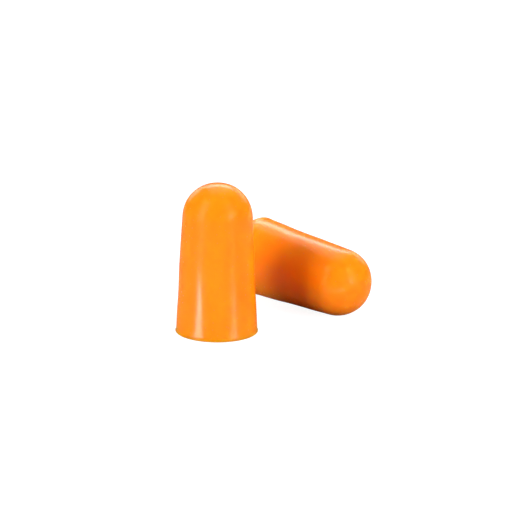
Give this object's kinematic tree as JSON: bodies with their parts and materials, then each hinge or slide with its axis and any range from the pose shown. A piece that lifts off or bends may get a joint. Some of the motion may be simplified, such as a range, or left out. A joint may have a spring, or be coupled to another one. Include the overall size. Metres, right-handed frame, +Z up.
{
  "type": "foam ear plugs",
  "caption": "Uncorded foam ear plugs that block noise, tapering bullets with a flat, thinly lipped base and a domed tip, standing and lying on a table.",
  "frame": {"origin": "centre of the standing plug's flat base, on the table", "axes": "+Z up along the standing plug's axis, -Y towards the front, +X to the right; the lying plug is behind and to the right, and its tip points to +X and -Y"},
  "size_m": [0.0318, 0.0337, 0.024],
  "materials": {
    "ear_foam": "matte"
  },
  "bodies": {
    "standing_plug": {"standing_plug": "ear_foam"},
    "lying_plug": {"lying_plug": "ear_foam"}
  },
  "joints": [
    {"name": "lying_plug_lift", "type": "slide", "parent": "standing_plug", "child": "lying_plug", "axis": [0, 0, 1], "range_m": [0, 0.03]}
  ]
}
